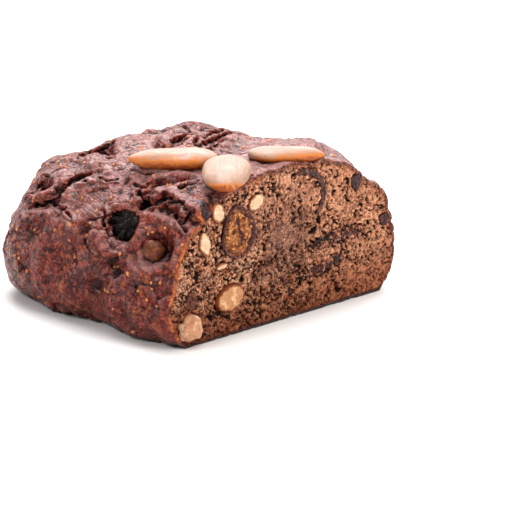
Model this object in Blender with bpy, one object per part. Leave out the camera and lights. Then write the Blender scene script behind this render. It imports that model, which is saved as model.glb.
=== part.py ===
"""A cut loaf of pear bread: a dark fruit loaf with three blanched almonds on its crust.

Run it with blender --background --python part.py, or from Blender's text editor.
+X runs along the loaf towards the cut, +Y across it and +Z up. The origin ends up at the
bottom centre of the whole. Sizes below are in millimetres, and the meshes are in metres.
"""

import math
import random

import bmesh
import bpy
from mathutils import Matrix, Vector, noise
from mathutils.geometry import intersect_point_line

MM = 0.001
PIECE_GAP = 0.3  # air between a piece and the pocket it sits in
MERGE_DISTANCE = 0.02
SHARP_ANGLE = math.radians(50.0)

# The loaf as it was baked, before the slices came off it.
BAKED_LENGTH = 114.0
BAKED_MIDDLE_X = 16.0
LOAF_WIDTH = 91.0
CROWN_HEIGHT = 46.5
BELLY_HEIGHT = 11.0  # the loaf is widest at this height
UNDERSIDE_DEPTH = 20.0  # how far below the belly it would round off, were it not flat
ROUND_ALONG = 3.5  # 2 is an ellipse, and more is boxier
ROUND_ACROSS = 2.3
CUT_X = 44.0

# The crown is highest at SHOULDER_X and falls towards both ends.
SHOULDER_X = 19.0
FAR_END_FALL = 0.18  # as a share of the crown's height
CUT_END_FALL = 2.8

# How finely the crust is worked, and how many of its triangles are kept.
SEGMENTS_AROUND = 200
RINGS_ALONG = 150
KEPT_SHARE = 0.162

# Soft unevenness of the dough: the size of a swell and its height.
SWELLS = ((30.0, 1.2), (14.0, 1.0), (7.0, 0.8))

# Lumps of fruit under the crust, and dents between them: centre, reach, height.
LUMPS = (
    ((-28.0, -21.0, 36.0), 8.0, 2.0),  # the lobe at the far end
    ((-33.0, -19.0, 33.5), 4.5, 1.4),
    ((-37.0, -25.0, 28.5), 5.0, -1.6),
    ((-22.5, -16.0, 41.0), 4.0, -1.6),
    ((-7.0, -12.5, 44.5), 6.0, 2.2),
    ((-13.0, -19.5, 41.0), 3.6, -2.0),
    ((-12.0, -2.0, 45.5), 6.0, -2.6),
    ((-4.0, 7.0, 46.5), 9.0, 1.2),
    ((18.0, 13.0, 46.5), 5.5, -1.8),
    ((27.0, -12.0, 46.0), 14.0, -1.6),  # the almonds lie here
    ((31.0, 25.0, 41.0), 9.0, 2.8),
    ((44.0, 34.0, 34.5), 4.2, -2.0),
    ((44.0, 29.0, 38.0), 3.6, -0.8),
    ((15.0, -44.0, 22.0), 7.0, 1.4),
    ((-1.5, -44.3, 14.6), 4.0, -1.2),
    ((-9.0, -44.5, 17.5), 4.0, 1.2),
    ((-15.0, -42.5, 23.0), 3.0, -1.2),
    ((6.0, -44.8, 20.5), 3.2, -1.1),
    ((16.0, -45.0, 12.5), 3.0, -1.0),
    ((2.0, -43.0, 27.0), 6.0, 1.2),
    ((-22.0, -42.0, 17.0), 3.6, 1.2),
    ((40.0, -43.5, 8.0), 8.0, 1.4),
    ((28.0, -42.0, 2.0), 5.0, 1.4),
    ((11.0, -42.0, 4.0), 6.0, -1.6),
    ((39.0, -29.0, 38.5), 4.2, 1.4),
    ((44.0, -33.0, 34.0), 3.6, -1.8),
    ((40.0, -36.5, 31.0), 3.4, 1.2),
    ((27.0, -31.5, 38.6), 4.6, 1.2),
)

# Deep hollows where fruit stood in the crust: centre, reach, depth.
HOLLOWS = (
    ((20.4, -40.2, 28.8), 4.8, 5.2),  # the big one, with a dark fruit in it
    ((24.0, -35.4, 35.4), 2.8, 3.0),
    ((35.2, -41.6, 26.2), 4.2, 3.8),  # it holds a nut
    ((22.8, -44.8, 18.6), 2.6, 2.4),
    ((14.6, -45.0, 13.0), 2.0, 1.4),
    ((-9.6, -36.6, 31.2), 3.0, 2.4),
)

# Creases where the skin folded as the loaf was shaped: the points, half width, depth, lip.
CREASES = (
    (((-26.8, -30.4, 29.2), (-19.7, -33.3, 32.7), (-17.0, -32.0, 34.4)), 1.8, 4.4, 1.5),
    (((-20.5, -38.6, 26.4), (-15.0, -37.7, 28.8), (-10.4, -36.9, 30.9)), 1.9, 4.8, 1.6),
    (((-9.5, -35.8, 32.3), (-6.2, -33.2, 35.8), (-2.3, -30.3, 38.8)), 1.9, 4.4, 1.5),
    (((-10.0, -37.0, 31.0), (-4.5, -39.0, 29.2)), 1.7, 3.2, 1.2),
    (((-17.6, -19.7, 40.0), (-13.2, -18.8, 40.8), (-7.6, -20.2, 42.0), (-0.6, -23.1, 41.3)), 1.8, 3.8, 1.4),
    (((8.7, -15.5, 44.3), (8.5, -9.8, 45.7), (3.8, 1.0, 46.6)), 1.9, 4.2, 1.5),
    (((20.2, -10.7, 46.3), (15.6, 0.0, 46.0), (11.0, 13.5, 45.7)), 1.9, 4.4, 1.6),
    (((21.1, -34.7, 36.9), (23.3, -31.2, 39.1), (27.4, -27.7, 40.3), (31.9, -22.8, 41.9)), 1.8, 4.2, 1.5),
    (((28.3, -34.4, 35.9), (33.5, -33.9, 35.3), (40.2, -35.1, 33.5)), 1.8, 3.6, 1.3),
    (((7.9, -42.3, 29.0), (10.4, -44.0, 24.7), (15.2, -45.3, 19.8)), 1.6, 2.2, 1.0),
)

CREASE_WAVE = 2.2  # how far a crease wanders off its line
CREASE_WAVELENGTH = 8.0
WAVE_OFFSETS = (13.1, 47.7, 91.3)  # how far apart the waves along X, Y and Z are taken
CREASE_FADE = 5.0  # a crease runs out over this length
CREASE_END = 0.25  # the share of its depth that is left at its ends
CREASE_REACH = 5.0  # in half widths, how far a crease is felt
LIP_AWAY = 2.0  # in half widths, how far off the raised lip stands

# The side away from the cut's near corner carries more of the same, placed by this draw.
DRAW_SEED = 41
DRAWN_AROUND = (-15.0, 112.0)  # degrees: 0 is the middle of the back, 90 the top
DRAWN_ALONG = (28.0, 165.0)  # degrees: 180 is the middle of the far end
DRAWN_LUMPS = {"count": 26, "reach": (4.0, 9.0), "height": (-1.2, 2.0)}
DRAWN_HOLLOWS = {"count": 7, "reach": (2.2, 4.0), "depth": (1.6, 3.4)}
DRAWN_CREASES = {"count": 11, "width": (1.4, 2.0), "depth": (1.6, 2.6), "lip": (0.7, 1.1)}
DRAWN_STEP = 0.13  # the most that a drawn crease goes on from point to point
DRAWN_BEND = 0.05
DRAWN_POINTS = 4

# Pieces that the knife went through. Each has its middle on the cut face, as (across, up),
# its size as (across, up, into the loaf), its turn in degrees and how far it stands proud.
CUT_PIECES = {
    "nut_by_crust": ((-27.6, 34.8), (4.4, 6.0, 5.0), 24.0, 0.5, "nut"),
    "nut_left": ((-32.4, 27.2), (4.2, 6.8, 5.0), 12.0, 0.3, "nut"),
    "nut_upper": ((-12.8, 35.0), (6.2, 4.4, 4.0), 24.0, 0.2, "nut"),
    "nut_chip": ((-26.1, 19.8), (4.6, 2.0, 3.0), 6.0, 0.2, "nut"),
    "hazelnut_half": ((-23.3, 10.6), (10.6, 7.2, 8.0), 12.0, 0.9, "hazelnut"),
    "date_piece": ((-37.2, 12.6), (4.4, 5.2, 4.0), -8.0, 0.2, "date"),
    "raisin_upper": ((27.8, 34.0), (4.2, 5.0, 4.0), 10.0, 0.3, "raisin"),
    "raisin_edge": ((40.2, 20.9), (4.4, 3.8, 4.0), 0.0, 0.3, "raisin"),
    "prune_streak": ((20.6, 19.4), (24.0, 4.6, 6.0), 4.0, 0.1, "prune"),
    "prune_low": ((15.4, 12.0), (21.0, 3.6, 5.0), 10.0, 0.1, "prune"),
    "pear_middle": ((-1.6, 23.6), (12.0, 6.6, 5.0), -10.0, 0.1, "pear"),
    "pear_right": ((25.4, 26.8), (6.6, 3.0, 4.0), 4.0, 0.1, "pear"),
}

# A fig cut near its middle, drawn out to a point at the top.
FIG_MIDDLE = (-19.9, 28.3)
FIG_SIZE = (13.0, 15.0, 11.0)
FIG_TURN = 6.0
FIG_POINT = 0.36  # how much narrower the top gets
FIG_PROUD = 0.3
FIG_UNEVENNESS = 0.04

# A second fig's curled skin, along an arc on the cut face.
CURL_CENTRE = (5.4, 33.2)
CURL_RADIUS_ACROSS = 9.0
CURL_RADIUS_UP = 7.2
CURL_FROM = -56.0
CURL_TO = 112.0
CURL_THICKNESS = 2.0
CURL_DEPTH = 5.0
CURL_PROUD = 0.2

# Which unevenness each gets. The cut pieces count from 0.
FIG_SEED = 20
CURL_SEED = 21
ROUND_SEED = 30

# A whole hazelnut at the corner, and a small nut at the bottom of its hollow.
CORNER_NUT_MIDDLE = (43.4, -38.0, 5.2)
CORNER_NUT_SIZE = (6.4, 7.0, 6.6)
HOLLOW_NUT_MIDDLE = (33.8, -41.2, 25.2)
HOLLOW_NUT_SIZE = (5.2, 5.0, 5.0)

# A dark fruit in the big hollow, and a plump raisin under the skin of the shoulder.
HOLLOW_FRUIT_MIDDLE = (20.4, -38.0, 29.0)
HOLLOW_FRUIT_SIZE = (9.6, 5.0, 8.0)
SHOULDER_RAISIN_MIDDLE = (40.4, -33.2, 34.8)
SHOULDER_RAISIN_SIZE = (5.8, 5.0, 5.2)

# How uneven the nuts and fruit are: a share of their least size, and how close the bumps lie.
UNEVENNESS = 0.06
ROUND_UNEVENNESS = 0.08
BUMP_SPACING = 0.45

# The blanched almonds: the middles of the pointed end and of the blunt end, the width and
# the thickness, and how far the point narrows.
ALMONDS = {
    "almond_left": ((10.4, -28.6, 44.8), (27.8, -10.0, 44.4), (11.0, 5.8), 0.32),
    "almond_centre": ((47.2, -28.0, 42.0), (31.6, -11.2, 45.2), (13.4, 5.6), 0.10),
    "almond_right": ((41.9, 16.9, 43.0), (34.4, -5.6, 45.5), (9.8, 4.8), 0.20),
}

ALMOND_FULLNESS = 2.7  # 2 is an ellipse, and more has fuller ends
ALMOND_POLE = 0.999  # beyond this share of the half length lie only its two end points

COLOURS = {
    "crust": (0.105, 0.042, 0.036, 1.0),
    "almond": (0.80, 0.56, 0.34, 1.0),
    "nut": (0.62, 0.42, 0.26, 1.0),
    "hazelnut": (0.50, 0.29, 0.14, 1.0),
    "date": (0.12, 0.055, 0.03, 1.0),
    "raisin": (0.045, 0.022, 0.026, 1.0),
    "prune": (0.035, 0.018, 0.018, 1.0),
    "pear": (0.22, 0.13, 0.085, 1.0),
    "fig": (0.20, 0.10, 0.045, 1.0),
}
ROUGHNESS = {"crust": 0.5, "raisin": 0.35, "prune": 0.3, "fig": 0.4}
USUAL_ROUGHNESS = 0.55


def crown_at(along):
    """How high the loaf stands at a place along it."""
    if along > SHOULDER_X:
        return CROWN_HEIGHT - CUT_END_FALL * (along - SHOULDER_X) / (CUT_X - SHOULDER_X)
    far_end = BAKED_MIDDLE_X - BAKED_LENGTH / 2
    share = (SHOULDER_X - along) / (SHOULDER_X - far_end)
    return CROWN_HEIGHT * (1 - FAR_END_FALL * share ** 2)


def dough_point(direction):
    """The point of the smooth loaf that lies in a direction, a unit vector."""
    x, y, z = direction
    across = (abs(y) ** ROUND_ACROSS + abs(z) ** ROUND_ACROSS) ** (1 / ROUND_ACROSS)
    reach = (abs(x) ** ROUND_ALONG + across ** ROUND_ALONG) ** (-1 / ROUND_ALONG)
    along = BAKED_MIDDLE_X + BAKED_LENGTH / 2 * x * reach
    height = crown_at(along) - BELLY_HEIGHT if z > 0 else UNDERSIDE_DEPTH
    return Vector((along, LOAF_WIDTH / 2 * y * reach, BELLY_HEIGHT + height * z * reach))


def drawn_relief():
    """More lumps, creases and hollows, over the back, the far end and the right of the top."""
    draw = random.Random(DRAW_SEED)

    def crust_spot():
        angle = math.radians(draw.uniform(*DRAWN_AROUND))
        lean = math.radians(draw.uniform(*DRAWN_ALONG))
        ring = math.sin(lean)
        return Vector((math.cos(lean), ring * math.cos(angle), ring * math.sin(angle)))

    def crease_path():
        start = crust_spot()
        step = Vector([draw.uniform(-DRAWN_STEP, DRAWN_STEP) for _ in range(3)])
        bend = Vector([draw.uniform(-DRAWN_BEND, DRAWN_BEND) for _ in range(3)])
        return [dough_point((start + step * k + bend * k * k).normalized()) for k in range(DRAWN_POINTS)]

    def drawn(kind, place, *measures):
        return [(place(), *(draw.uniform(*kind[name]) for name in measures)) for _ in range(kind["count"])]

    lumps = drawn(DRAWN_LUMPS, lambda: dough_point(crust_spot()), "reach", "height")
    creases = drawn(DRAWN_CREASES, crease_path, "width", "depth", "lip")
    hollows = drawn(DRAWN_HOLLOWS, lambda: dough_point(crust_spot()), "reach", "depth")
    return lumps, creases, hollows


def path_distance(point, path):
    """How far a point is from a line through a few points, and how near to the line's ends."""
    best = math.inf
    nearest = path[0]
    for start, end in zip(path, path[1:]):
        near, share = intersect_point_line(point, start, end)
        if share < 0:
            near = start
        elif share > 1:
            near = end
        if (point - near).length < best:
            best = (point - near).length
            nearest = near
    return best, min((nearest - path[0]).length, (nearest - path[-1]).length)


def wave_at(point):
    """The soft wave that carries a crease off its line at a point, as a vector."""
    return Vector([noise.noise(point + Vector((offset, 0.0, 0.0))) for offset in WAVE_OFFSETS])


def crust_relief():
    """A function that says how far the crust stands out of the smooth dough at a point."""
    lumps, creases, hollows = drawn_relief()
    lumps += [(Vector(centre), reach, height) for centre, reach, height in LUMPS]
    hollows += [(Vector(centre), reach, depth) for centre, reach, depth in HOLLOWS]
    creases += [([Vector(p) for p in path], *rest) for path, *rest in CREASES]

    def relief(point):
        rise = sum(height * noise.noise(point / size) for size, height in SWELLS)
        for centre, reach, height in lumps:
            rise += height * math.exp(-((point - centre).length / reach) ** 2)
        for centre, reach, depth in hollows:
            rise -= depth * math.exp(-((point - centre).length / reach) ** 4)
        wavy = point + CREASE_WAVE * wave_at(point / CREASE_WAVELENGTH)
        for path, width, depth, lip in creases:
            distance, to_end = path_distance(wavy, path)
            away = distance / width
            if away < CREASE_REACH:
                fade = min(1.0, CREASE_END + to_end / CREASE_FADE)
                rise += fade * (lip * math.exp(-(away - LIP_AWAY) ** 2) - depth * math.exp(-away))
        return rise

    return relief


def move_along_normals(mesh, amount):
    """Push every vertex out by what amount says of its place."""
    mesh.normal_update()
    moved = [vert.co + vert.normal * amount(vert.co) for vert in mesh.verts]
    for vert, place in zip(mesh.verts, moved):
        vert.co = place


def cut_flat(mesh, point, outward):
    """Cut a mesh along a plane, drop what lies outward of it and close the cut."""
    whole = mesh.verts[:] + mesh.edges[:] + mesh.faces[:]
    cut = bmesh.ops.bisect_plane(
        mesh, geom=whole, dist=MERGE_DISTANCE, plane_co=point, plane_no=outward, clear_outer=True
    )
    for item in cut["geom_cut"]:
        if isinstance(item, bmesh.types.BMVert):
            item.co -= Vector(outward) * (item.co - Vector(point)).dot(outward)
    rim = [item for item in cut["geom_cut"] if isinstance(item, bmesh.types.BMEdge)]
    bmesh.ops.edgeloop_fill(mesh, edges=rim)


def oval(segments, rings, size):
    """A round body with its poles along X, as a mesh."""
    mesh = bmesh.new()
    bmesh.ops.create_uvsphere(mesh, u_segments=segments, v_segments=rings, radius=0.5)
    bmesh.ops.rotate(mesh, verts=mesh.verts, matrix=Matrix.Rotation(math.pi / 2, 3, "Y"))
    bmesh.ops.scale(mesh, verts=mesh.verts, vec=size)
    return mesh


def add_object(name, mesh, collection):
    """Turn a mesh in millimetres into an object in metres."""
    bmesh.ops.recalc_face_normals(mesh, faces=mesh.faces)
    bmesh.ops.scale(mesh, verts=mesh.verts, vec=(MM, MM, MM))
    data = bpy.data.meshes.new(name)
    mesh.to_mesh(data)
    mesh.free()
    data.shade_smooth()
    data.set_sharp_from_angle(angle=SHARP_ANGLE)
    piece = bpy.data.objects.new(name, data)
    collection.objects.link(piece)
    return piece


def paint(piece, kind):
    """Give a piece its own material, in its kind's colour."""
    material = bpy.data.materials.new(piece.name)
    material.use_nodes = True
    shader = material.node_tree.nodes["Principled BSDF"]
    shader.inputs["Base Color"].default_value = COLOURS[kind]
    shader.inputs["Roughness"].default_value = ROUGHNESS.get(kind, USUAL_ROUGHNESS)
    shader.inputs["Metallic"].default_value = 0.0
    piece.data.materials.append(material)


def make_loaf(collection):
    """The loaf's body: dough with its relief, flat below and flat at the cut."""
    dense = oval(SEGMENTS_AROUND, RINGS_ALONG, (2.0, 2.0, 2.0))
    for vert in dense.verts:
        vert.co = dough_point(vert.co.normalized())
    move_along_normals(dense, crust_relief())
    shaped = add_object("loaf", dense, collection)
    thinned = shaped.modifiers.new("fewer triangles", "DECIMATE")
    thinned.ratio = KEPT_SHARE
    bpy.context.view_layer.update()
    mesh = bmesh.new()
    mesh.from_object(shaped, bpy.context.evaluated_depsgraph_get())
    bmesh.ops.scale(mesh, verts=mesh.verts, vec=(1 / MM, 1 / MM, 1 / MM))
    bpy.data.objects.remove(shaped)
    cut_flat(mesh, (0, 0, 0), (0, 0, -1))
    cut_flat(mesh, (CUT_X, 0, 0), (1, 0, 0))
    bmesh.ops.remove_doubles(mesh, verts=mesh.verts, dist=MERGE_DISTANCE)
    loaf = add_object("loaf", mesh, collection)
    paint(loaf, "crust")
    return loaf


def seated(mesh, place, trim_at=None):
    """Put a body in its place, and trim what stands too far out of the cut face."""
    bmesh.ops.transform(mesh, verts=mesh.verts, matrix=place)
    if trim_at is not None:
        cut_flat(mesh, (trim_at, 0, 0), (1, 0, 0))
    return mesh


def add_piece(name, kind, shape, place, parts, cutters, trim_at=None):
    """A piece held by the loaf, and the cutter that makes its pocket.

    shape(growth) gives the body about its own middle, as much larger all round as growth says.
    """
    piece = add_object(name, seated(shape(0.0), place, trim_at), parts)
    paint(piece, kind)
    cutter = add_object(name + "_pocket", seated(shape(PIECE_GAP), place), cutters)
    cutter.hide_render = True
    cutter.display_type = "WIRE"


def lumpy_shape(size, seed, unevenness=UNEVENNESS, segments=12, rings=8, bend=None):
    """A shape function for a rounded, slightly uneven body of a size."""

    def shape(growth):
        mesh = oval(segments, rings, [side + 2 * growth for side in size])
        offset = Vector((seed * 7.3, seed * 3.1, seed * 5.7))
        amount = unevenness * min(size)
        spacing = BUMP_SPACING * min(size)
        move_along_normals(mesh, lambda co: amount * noise.noise(co / spacing + offset))
        if bend:
            for vert in mesh.verts:
                vert.co = bend(vert.co)
        return mesh

    return shape


def on_cut_face(middle, turn):
    """A place on the cut face: across and up, turned about the loaf's own axis."""
    return Matrix.Translation((CUT_X, *middle)) @ Matrix.Rotation(math.radians(turn), 4, "X")


def add_cut_pieces(parts, cutters):
    """Nuts and fruit that the knife went through."""
    for seed, (name, values) in enumerate(CUT_PIECES.items()):
        middle, (across, up, deep), turn, proud, kind = values
        shape = lumpy_shape((deep, across, up), seed)
        add_piece(name, kind, shape, on_cut_face(middle, turn), parts, cutters, CUT_X + proud)


def add_cut_fig(parts, cutters):
    """A halved fig, narrower towards its stalk."""
    across, up, deep = FIG_SIZE

    def to_point(co):
        narrow = 1 - FIG_POINT * max(0.0, co.z / (up / 2)) ** 1.5
        return Vector((co.x * narrow, co.y * narrow, co.z))

    shape = lumpy_shape((deep, across, up), FIG_SEED, FIG_UNEVENNESS, 18, 12, to_point)
    place = on_cut_face(FIG_MIDDLE, FIG_TURN)
    add_piece("fig_half", "fig", shape, place, parts, cutters, CUT_X + FIG_PROUD)


def add_curled_fig(parts, cutters):
    """A strip of fig skin that curls round a patch of crumb."""
    usual_radius = (CURL_RADIUS_ACROSS + CURL_RADIUS_UP) / 2
    length = math.radians(CURL_TO - CURL_FROM) * usual_radius
    middle_angle = math.radians(CURL_FROM + CURL_TO) / 2

    def to_arc(co):
        angle = middle_angle + co.y / usual_radius
        across = (CURL_RADIUS_ACROSS + co.z) * math.cos(angle)
        return Vector((co.x, across, (CURL_RADIUS_UP + co.z) * math.sin(angle)))

    size = (CURL_DEPTH, length, CURL_THICKNESS)
    shape = lumpy_shape(size, CURL_SEED, ROUND_UNEVENNESS, 28, 8, to_arc)
    place = on_cut_face(CURL_CENTRE, 0.0)
    add_piece("fig_curl", "fig", shape, place, parts, cutters, CUT_X + CURL_PROUD)


def add_round_pieces(parts, cutters):
    """Whole nuts and fruit that stand in the crust."""
    whole = (
        ("hazelnut_corner", "hazelnut", CORNER_NUT_MIDDLE, CORNER_NUT_SIZE),
        ("nut_in_hollow", "hazelnut", HOLLOW_NUT_MIDDLE, HOLLOW_NUT_SIZE),
        ("fruit_in_hollow", "prune", HOLLOW_FRUIT_MIDDLE, HOLLOW_FRUIT_SIZE),
        ("raisin_shoulder", "raisin", SHOULDER_RAISIN_MIDDLE, SHOULDER_RAISIN_SIZE),
    )
    for seed, (name, kind, middle, size) in enumerate(whole):
        shape = lumpy_shape(size, ROUND_SEED + seed, ROUND_UNEVENNESS, 14, 10)
        add_piece(name, kind, shape, Matrix.Translation(middle), parts, cutters)


def almond_shape(length, width, thickness, taper):
    """A blanched almond: flat, pointed towards +X and blunt at the other end."""

    def shape(growth):
        grown_length = length + 2 * growth
        mesh = oval(16, 14, (grown_length, width + 2 * growth, thickness + 2 * growth))
        for vert in mesh.verts:
            share = vert.co.x / (grown_length / 2)
            if abs(share) < ALMOND_POLE:
                fuller = math.sqrt((1 - abs(share) ** ALMOND_FULLNESS) / (1 - share ** 2))
                vert.co.y *= fuller * (1 - taper * share)
                vert.co.z *= fuller * (1 - taper / 2 * share)
        return mesh

    return shape


def add_almonds(parts, cutters):
    """Three almonds pressed into the crust, each laid between its two ends."""
    for name, (tip, blunt, (width, thickness), taper) in ALMONDS.items():
        along = Vector(tip) - Vector(blunt)
        towards_tip = along.normalized()
        sideways = Vector((0, 0, 1)).cross(towards_tip).normalized()
        turn = Matrix((towards_tip, sideways, towards_tip.cross(sideways))).transposed().to_4x4()
        place = Matrix.Translation((Vector(tip) + Vector(blunt)) / 2) @ turn
        shape = almond_shape(along.length, width, thickness, taper)
        add_piece(name, "almond", shape, place, parts, cutters)


def make_pockets(loaf, cutters):
    """Cut the pieces' pockets out of the loaf."""
    pockets = loaf.modifiers.new("pockets", "BOOLEAN")
    pockets.operation = "DIFFERENCE"
    pockets.operand_type = "COLLECTION"
    pockets.collection = cutters
    pockets.solver = "EXACT"


def stand_at_origin(parts, cutters):
    """Move everything so that the bottom centre of the whole is at the origin."""
    corners = [piece.matrix_world @ Vector(corner) for piece in parts.objects for corner in piece.bound_box]
    lowest = [min(corner[axis] for corner in corners) for axis in range(3)]
    highest = [max(corner[axis] for corner in corners) for axis in range(3)]
    shift = Vector(((lowest[0] + highest[0]) / 2, (lowest[1] + highest[1]) / 2, lowest[2]))
    for piece in (*parts.objects, *cutters.objects):
        piece.data.transform(Matrix.Translation(-shift))
    print("moved by", [round(-part / MM, 3) for part in shift], "mm")


def main():
    for leftover in list(bpy.data.objects):
        bpy.data.objects.remove(leftover)
    parts = bpy.data.collections.new("pear_bread")
    cutters = bpy.data.collections.new("pocket_cutters")
    bpy.context.scene.collection.children.link(parts)
    bpy.context.scene.collection.children.link(cutters)
    loaf = make_loaf(parts)
    add_cut_pieces(parts, cutters)
    add_cut_fig(parts, cutters)
    add_curled_fig(parts, cutters)
    add_round_pieces(parts, cutters)
    add_almonds(parts, cutters)
    stand_at_origin(parts, cutters)
    make_pockets(loaf, cutters)


main()
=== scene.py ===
# Pear bread: the looks of a cut loaf of dark fruit bread with three almonds on its crust.
# Lengths in the dictionaries are in millimetres, the meshes are in metres, +X is the cut end.

import bisect
import math
import random

import bmesh
import bpy
from mathutils import Matrix, Vector, noise
from mathutils.bvhtree import BVHTree
from mathutils.kdtree import KDTree


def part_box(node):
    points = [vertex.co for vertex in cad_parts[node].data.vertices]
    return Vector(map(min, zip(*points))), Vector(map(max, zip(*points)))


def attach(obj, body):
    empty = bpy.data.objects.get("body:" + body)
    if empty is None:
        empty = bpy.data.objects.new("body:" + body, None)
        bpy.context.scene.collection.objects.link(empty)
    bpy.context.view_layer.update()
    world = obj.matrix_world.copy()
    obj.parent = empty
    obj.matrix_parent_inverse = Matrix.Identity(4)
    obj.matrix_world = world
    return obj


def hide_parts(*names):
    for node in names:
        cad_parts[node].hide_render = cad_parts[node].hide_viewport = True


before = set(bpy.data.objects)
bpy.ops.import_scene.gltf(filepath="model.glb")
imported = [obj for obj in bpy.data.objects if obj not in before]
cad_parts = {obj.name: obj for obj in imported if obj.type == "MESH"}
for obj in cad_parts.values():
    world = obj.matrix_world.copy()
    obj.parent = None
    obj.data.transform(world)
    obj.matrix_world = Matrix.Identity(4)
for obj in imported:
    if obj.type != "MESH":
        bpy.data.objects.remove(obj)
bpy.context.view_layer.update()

mm = 0.001
mergeDistance = 0.002 * mm
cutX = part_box("loaf")[1].x  # the plane that the knife left
body = "root"

cutNodes = (
    "nut_by_crust", "nut_left", "nut_upper", "nut_chip", "hazelnut_half", "date_piece",
    "raisin_upper", "raisin_edge", "prune_streak", "prune_low", "pear_middle", "pear_right",
    "fig_half", "fig_curl",
)
# The crumb laps raggedly over these.
softFruit = ("date_piece", "prune_streak", "prune_low", "pear_middle", "pear_right", "fig_curl")


# Camera, light and floor

view = {
    "azimuth": 43.8,
    "elevation": 15.0,
    "distance": 650.0,
    "target": (29.2, -1.2, 15.6),
    "pixelsPerMm": 3.6,  # at the target
    "frame": 512,
    "sensor": 36.0,
}


def viewAxes():
    # to the right, up and towards the camera
    around = math.radians(view["azimuth"])
    rise = math.radians(view["elevation"])
    level = math.cos(rise)
    back = Vector((math.sin(around) * level, -math.cos(around) * level, math.sin(rise)))
    right = Vector((math.cos(around), math.sin(around), 0.0))
    return right, back.cross(right), back


def makeCamera():
    right, up, back = viewAxes()
    data = bpy.data.cameras.new("camera")
    data.sensor_width = view["sensor"]
    data.lens = view["pixelsPerMm"] * view["distance"] / view["frame"] * view["sensor"]
    camera = bpy.data.objects.new("camera", data)
    bpy.context.scene.collection.objects.link(camera)
    camera.location = (Vector(view["target"]) + back * view["distance"]) * mm
    camera.rotation_euler = Matrix((right, up, back)).transposed().to_euler()
    bpy.context.scene.camera = camera


def rayThrough(pixel):
    # where a ray starts and which way it goes, for a spot of the 512 pixel frame
    right, up, back = viewAxes()
    reach = view["pixelsPerMm"] * view["distance"]
    half = view["frame"] / 2
    way = right * ((pixel[0] - half) / reach) + up * ((half - pixel[1]) / reach) - back
    return (Vector(view["target"]) + back * view["distance"]) * mm, way.normalized()


# Soft panels: where each stands, its width and height, its watts and its colour.
lights = {
    "top": ((20.0, -20.0, 400.0), (260.0, 260.0), 0.9, (1.0, 0.98, 0.96)),
    "back": ((-190.0, 200.0, 400.0), (460.0, 460.0), 4.8, (1.0, 0.98, 1.0)),
    "backdrop": ((-360.0, 375.0, 190.0), (800.0, 300.0), 1.0, (1.0, 0.98, 0.98)),
    "front": ((430.0, 40.0, 240.0), (240.0, 240.0), 1.6, (1.0, 0.97, 0.94)),
    "side": ((-60.0, -420.0, 320.0), (220.0, 220.0), 0.95, (1.0, 0.98, 0.96)),
}
lightsFace = (0.0, 0.0, 20.0)
sky = {"colour": (1.0, 0.99, 0.98, 1.0), "strength": 0.22}
floorLooks = {"halfWidth": 3.0, "colour": (0.86, 0.86, 0.86, 1.0), "roughness": 0.9}  # in metres


def makeLights():
    for name, (place, sides, watts, colour) in lights.items():
        data = bpy.data.lights.new(name, "AREA")
        data.shape = "RECTANGLE"
        data.size, data.size_y = (side * mm for side in sides)
        data.energy = watts
        data.color = colour
        light = bpy.data.objects.new(name, data)
        bpy.context.scene.collection.objects.link(light)
        light.location = Vector(place) * mm
        light.rotation_euler = (Vector(place) - Vector(lightsFace)).to_track_quat("Z", "Y").to_euler()
    world = bpy.data.worlds.new("pale room")
    world.use_nodes = True
    background = world.node_tree.nodes["Background"].inputs
    background["Color"].default_value = sky["colour"]
    background["Strength"].default_value = sky["strength"]
    bpy.context.scene.world = world
    bpy.context.scene.view_settings.view_transform = "Standard"


def makeFloor():
    shape = bmesh.new()
    bmesh.ops.create_grid(shape, x_segments=1, y_segments=1, size=floorLooks["halfWidth"])
    data = bpy.data.meshes.new("floor")
    shape.to_mesh(data)
    shape.free()
    floor = bpy.data.objects.new("floor", data)
    bpy.context.scene.collection.objects.link(floor)
    material = bpy.data.materials.new("pale floor")
    material.use_nodes = True
    shader = material.node_tree.nodes["Principled BSDF"]
    shader.inputs["Base Color"].default_value = floorLooks["colour"]
    shader.inputs["Roughness"].default_value = floorLooks["roughness"]
    data.materials.append(material)


# Nodes that the materials share


def addNode(tree, kind, inputs=None, **settings):
    node = tree.nodes.new("ShaderNode" + kind)
    for key, value in settings.items():
        setattr(node, key, value)
    for name, value in (inputs or {}).items():
        if isinstance(value, bpy.types.NodeSocket):
            tree.links.new(value, node.inputs[name])
        else:
            node.inputs[name].default_value = value
    return node


def calc(tree, operation, first, second=0.0):
    # one step of arithmetic
    return addNode(tree, "Math", {0: first, 1: second}, operation=operation).outputs[0]


def ranged(tree, value, low, high, toLow=0.0, toHigh=1.0):
    # goes softly from toLow to toHigh while the value goes from low to high
    names = {"Value": value, "From Min": low, "From Max": high, "To Min": toLow, "To Max": toHigh}
    return addNode(tree, "MapRange", names, interpolation_type="SMOOTHSTEP").outputs[0]


def mixed(tree, share, first, second, blend="MIX"):
    inputs = {0: share, 6: first, 7: second}
    return addNode(tree, "Mix", inputs, data_type="RGBA", blend_type=blend).outputs[2]


def noiseAt(tree, vector, size, detail=2.0, roughness=0.5, seed=0.0):
    # soft noise whose clouds are about as many millimetres wide as the size says
    inputs = {"Vector": vector, "Scale": 1 / (size * mm), "Detail": detail, "Roughness": roughness, "W": seed}
    return addNode(tree, "TexNoise", inputs, noise_dimensions="4D").outputs[0]


def tinted(tree, colour, share, mask, tint):
    # lays a tint over a colour where the mask is 1, as strongly as the share says
    return mixed(tree, calc(tree, "MULTIPLY", mask, share), colour, tint)


def maskOf(tree, name):
    return addNode(tree, "Attribute", attribute_name=name).outputs["Fac"]


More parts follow.
